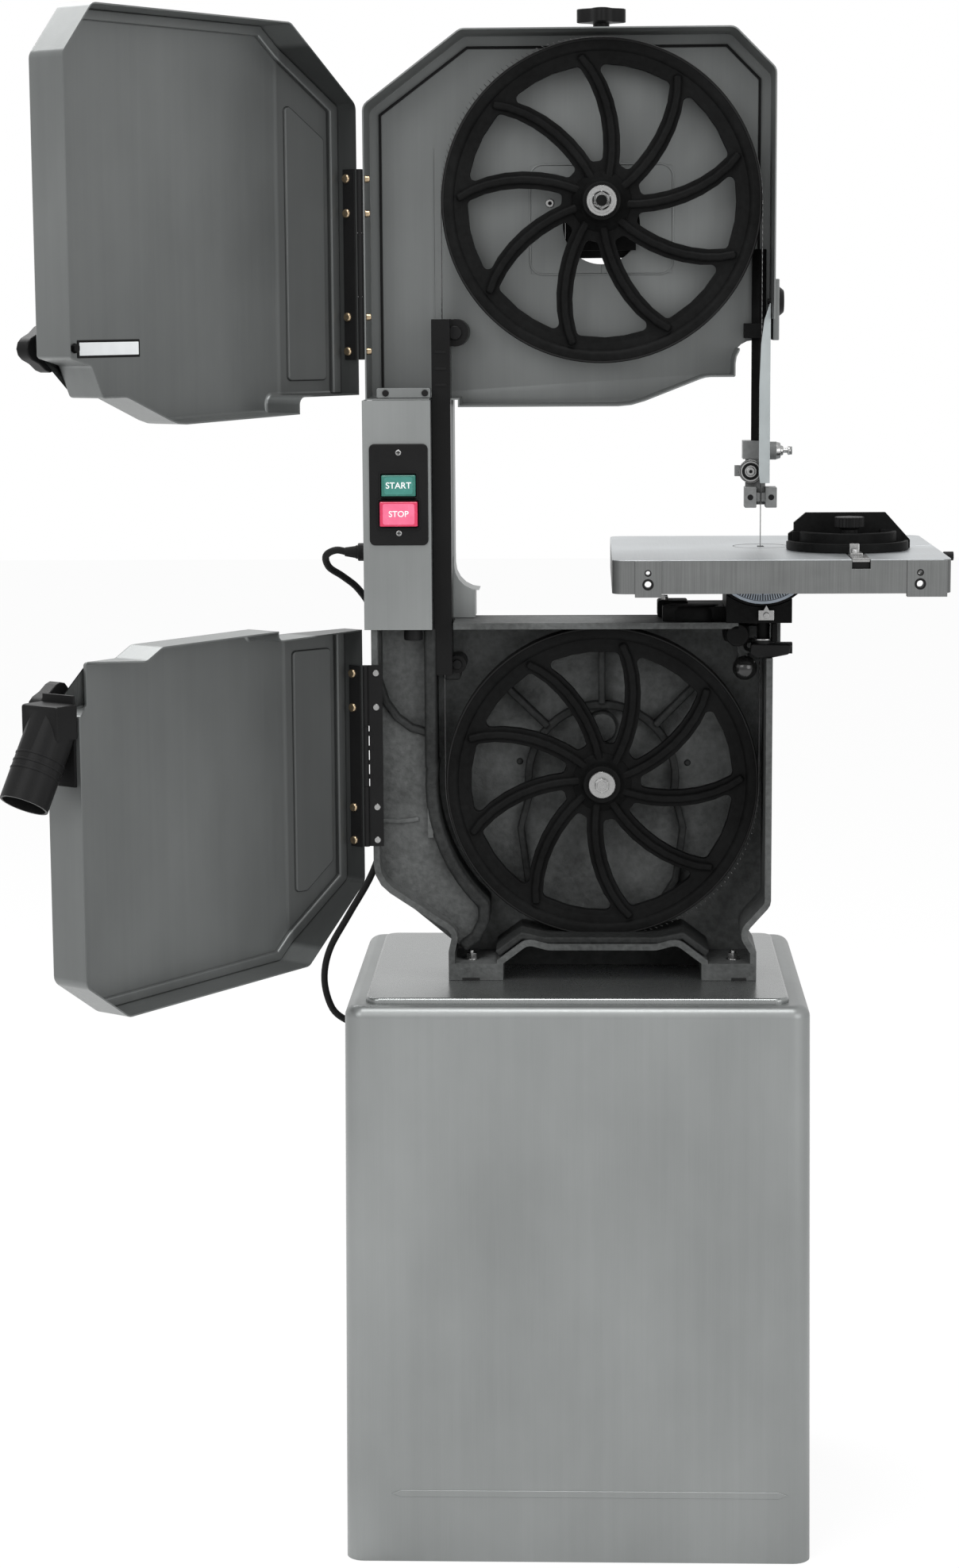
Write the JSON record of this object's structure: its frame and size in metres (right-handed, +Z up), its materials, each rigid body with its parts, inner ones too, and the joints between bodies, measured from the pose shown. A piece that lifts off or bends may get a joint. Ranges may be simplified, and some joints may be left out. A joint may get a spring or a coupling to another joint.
{
  "type": "band saw",
  "caption": "Upright band saw on a closed sheet stand, with spoked band wheels, hinged wheel doors, tilting table, blade guides and mitre gauge.",
  "frame": {"origin": "on the floor, under the middle of the saw's footprint with both doors open", "axes": "+X from the column to the blade's side, +Y away from the operator, +Z up"},
  "size_m": [0.9856, 0.7368, 1.71],
  "materials": {
    "sheet_light": "hammertone light grey enamel",
    "sheet_grey": "hammertone grey enamel",
    "cast_grey": "dark grey paint over rough casting",
    "cast_black": "black paint over casting",
    "iron_ground": "ground and oiled",
    "steel_bright": "bright turned",
    "steel_blade": "rolled",
    "zinc_pale": "pale zinc plate",
    "plastic_black": "satin black",
    "rubber_black": "matt",
    "start_green": "gloss",
    "stop_red": "gloss",
    "motor_paint": "dark enamel"
  },
  "bodies": {
    "frame": {"stand_cabinet": "sheet_light", "motor": "motor_paint", "base_casting": "cast_grey", "column": "sheet_light", "column_cover": "sheet_light", "blade_channel": "plastic_black", "upper_housing": "sheet_grey", "switch_body": "plastic_black", "lead_gland": "plastic_black", "motor_lead": "rubber_black", "stand_grommet": "rubber_black", "belt_guard": "plastic_black", "saw_blade": "steel_blade", "drive_belt": "rubber_black", "lower_guide_carrier": "cast_grey", "trunnion_support": "cast_black", "upper_hinge_frame_leaf": "plastic_black", "lower_hinge_frame_leaf": "plastic_black", "guide_post_socket": "cast_black", "lower_bearing": "steel_bright", "tension_bracket": "cast_black", "tension_spring": "steel_bright"},
    "upper_door": {"upper_door": "sheet_grey", "upper_hinge_door_leaf": "plastic_black"},
    "upper_latch": {"upper_door_knob": "plastic_black"},
    "lower_door": {"lower_door": "sheet_grey", "lower_hinge_door_leaf": "plastic_black", "dust_port": "plastic_black"},
    "lower_latch": {"lower_door_knob": "plastic_black"},
    "upper_carriage": {"wheel_slide": "cast_black"},
    "upper_axle": {"upper_shaft": "steel_bright"},
    "upper_band_wheel": {"upper_wheel": "cast_black", "upper_tyre": "rubber_black"},
    "lower_band_wheel": {"lower_wheel": "cast_black", "lower_tyre": "rubber_black", "lower_shaft": "steel_bright", "driven_pulley": "cast_black"},
    "motor_drive": {"motor_pulley": "cast_black"},
    "tension_screw": {"tension_knob": "plastic_black"},
    "tracking_screw": {"tracking_knob": "plastic_black"},
    "guide_head": {"guide_post": "cast_black", "guide_carrier": "cast_grey", "blade_guard": "zinc_pale", "guide_block_left": "cast_grey", "guide_block_right": "cast_grey"},
    "guide_bearing": {"thrust_bearing": "steel_bright"},
    "lower_guide_bearing": {"lower_thrust_bearing": "steel_bright"},
    "guide_lock": {"guide_lock_knob": "plastic_black"},
    "work_table": {"table": "iron_ground", "table_insert": "iron_ground", "table_trunnion": "cast_black", "tilt_scale": "zinc_pale"},
    "table_pin": {"table_pin": "cast_black"},
    "mitre_bar": {"mitre_bar": "steel_bright"},
    "mitre_head": {"mitre_head": "cast_black"},
    "mitre_lock": {"mitre_knob": "plastic_black"},
    "tilt_lock": {"tilt_lock_handle": "plastic_black"},
    "lower_guide_adjuster": {"lower_guide_knob": "plastic_black"},
    "start_button": {"start_button": "start_green"},
    "stop_button": {"stop_button": "stop_red"}
  },
  "joints": [
    {"name": "upper_door_swing", "type": "hinge", "parent": "frame", "child": "upper_door", "pos_m": [-0.15836, 0.05245, 1.432], "axis": [0, 0, 1], "range_deg": [-45, 125]},
    {"name": "upper_latch_turn", "type": "hinge", "parent": "upper_door", "child": "upper_latch", "pos_m": [-0.43858, -0.26406, 1.348], "axis": [-0.8192, 0.5736, 0], "range_deg": [-90, 90]},
    {"name": "lower_door_swing", "type": "hinge", "parent": "frame", "child": "lower_door", "pos_m": [-0.15836, 0.05245, 0.893], "axis": [0, 0, 1], "range_deg": [-45, 125]},
    {"name": "lower_latch_turn", "type": "hinge", "parent": "lower_door", "child": "lower_latch", "pos_m": [-0.43744, -0.26243, 0.989], "axis": [-0.8192, 0.5736, 0], "range_deg": [-90, 90]},
    {"name": "tension_turn", "type": "hinge", "parent": "frame", "child": "tension_screw", "pos_m": [0.10364, 0.1626, 1.7], "axis": [0, 0, 1], "range_deg": [-720, 0]},
    {"name": "tension_slide", "type": "slide", "parent": "frame", "child": "upper_carriage", "axis": [0, 0, 1], "range_m": [-0.004, 0], "deforming": ["tension_spring"]},
    {"name": "tracking_turn", "type": "hinge", "parent": "upper_carriage", "child": "tracking_screw", "pos_m": [0.10364, 0.18245, 1.459], "axis": [0, 1, 0], "range_deg": [-60, 200]},
    {"name": "wheel_tracking", "type": "hinge", "parent": "upper_carriage", "child": "upper_axle", "pos_m": [0.10364, 0.14645, 1.499], "axis": [1, 0, 0], "range_deg": [-0.3, 1]},
    {"name": "upper_wheel_spin", "type": "hinge", "parent": "upper_axle", "child": "upper_band_wheel", "pos_m": [0.10364, 0.10245, 1.499], "axis": [0, 1, 0], "continuous": true},
    {"name": "lower_wheel_spin", "type": "hinge", "parent": "frame", "child": "lower_band_wheel", "pos_m": [0.10364, 0.10245, 0.858], "axis": [0, 1, 0], "continuous": true},
    {"name": "motor_spin", "type": "hinge", "parent": "frame", "child": "motor_drive", "pos_m": [0.10364, 0.20445, 0.3], "axis": [0, 1, 0], "continuous": true},
    {"name": "guide_post_slide", "type": "slide", "parent": "frame", "child": "guide_head", "axis": [0, 0, 1], "range_m": [-0.01, 0.1]},
    {"name": "guide_bearing_spin", "type": "hinge", "parent": "guide_head", "child": "guide_bearing", "pos_m": [0.26864, 0.11345, 1.2037], "axis": [0, 1, 0], "continuous": true},
    {"name": "lower_guide_bearing_spin", "type": "hinge", "parent": "frame", "child": "lower_guide_bearing", "pos_m": [0.26864, 0.11145, 1.01], "axis": [0, 1, 0], "continuous": true},
    {"name": "guide_lock_turn", "type": "hinge", "parent": "frame", "child": "guide_lock", "pos_m": [0.29864, 0.13045, 1.39], "axis": [1, 0, 0], "range_deg": [-90, 90]},
    {"name": "table_tilt", "type": "hinge", "parent": "frame", "child": "work_table", "pos_m": [0.27934, 0.10245, 1.1216], "axis": [0, 1, 0], "range_deg": [-10, 45]},
    {"name": "table_pin_slide", "type": "slide", "parent": "work_table", "child": "table_pin", "axis": [1, 0, 0], "range_m": [0, 0.03]},
    {"name": "mitre_slide", "type": "slide", "parent": "work_table", "child": "mitre_bar", "axis": [0, 1, 0], "range_m": [-0.045, 0.15]},
    {"name": "mitre_turn", "type": "hinge", "parent": "mitre_bar", "child": "mitre_head", "pos_m": [0.37184, 0.03045, 1.126], "axis": [0, 0, 1], "range_deg": [-60, 60]},
    {"name": "mitre_lock_turn", "type": "hinge", "parent": "mitre_bar", "child": "mitre_lock", "pos_m": [0.37184, 0.03045, 1.145], "axis": [0, 0, 1], "range_deg": [-180, 180]},
    {"name": "tilt_lock_turn", "type": "hinge", "parent": "frame", "child": "tilt_lock", "pos_m": [0.28164, 0.07245, 1.012], "axis": [0, 0, 1], "range_deg": [-10, 45]},
    {"name": "lower_guide_turn", "type": "hinge", "parent": "frame", "child": "lower_guide_adjuster", "pos_m": [0.26164, 0.07245, 0.989], "axis": [0, 1, 0], "range_deg": [-90, 90]},
    {"name": "start_press", "type": "slide", "parent": "frame", "child": "start_button", "axis": [0, 1, 0], "range_m": [0, 0.003], "stiffness_N_per_m": 400, "springref_m": -0.002},
    {"name": "stop_press", "type": "slide", "parent": "frame", "child": "stop_button", "axis": [0, 1, 0], "range_m": [0, 0.003], "stiffness_N_per_m": 400, "springref_m": -0.002}
  ],
  "couplings": [
    {"joint": "tension_turn", "follows": "tension_slide", "rad_per_m": 3141.6},
    {"joint": "tracking_turn", "follows": "wheel_tracking", "ratio": 200},
    {"joint": "upper_wheel_spin", "follows": "lower_wheel_spin", "ratio": 1},
    {"joint": "motor_spin", "follows": "lower_wheel_spin", "ratio": 2.0526}
  ]
}
